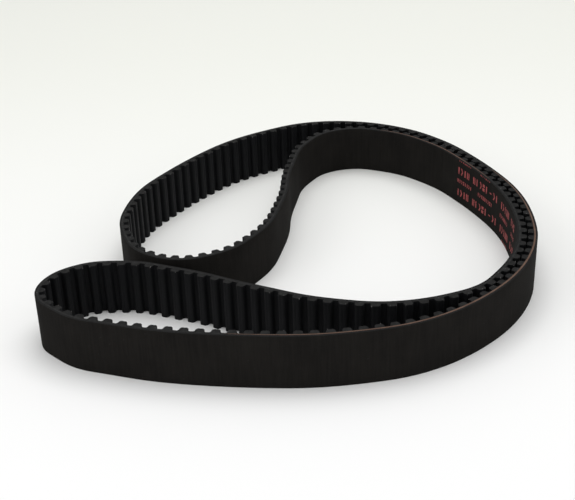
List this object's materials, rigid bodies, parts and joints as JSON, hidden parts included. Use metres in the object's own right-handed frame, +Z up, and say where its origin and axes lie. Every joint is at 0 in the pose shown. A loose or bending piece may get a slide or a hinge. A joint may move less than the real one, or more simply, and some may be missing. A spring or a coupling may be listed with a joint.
{
  "type": "timing belt",
  "caption": "Endless toothed rubber timing belt with curved-flank teeth inside and a smooth back, lying loosely looped on its edge.",
  "frame": {"origin": "under the middle of the belt's bounding box, at the height of the cut edge that it rests on", "axes": "+Z up across the belt's width; +Y from the doubled near strand to the far bend; +X towards the side where two strands lie tooth to tooth"},
  "size_m": [0.2736, 0.2801, 0.03],
  "materials": {
    "backing": "ground, dull, charcoal black",
    "cord": "twisted glass fibre in brown adhesive dip",
    "filling": "cut rubber, dull",
    "tooth_core": "cut rubber, dull dark grey",
    "facing": "fine black woven nylon"
  },
  "bodies": {
    "root": {"backing_rubber": "backing", "cord_s_twist": "cord", "cord_z_twist": "cord", "cord_filling_rubber": "filling", "tooth_rubber": "tooth_core", "facing_fabric": "facing"}
  },
  "joints": []
}
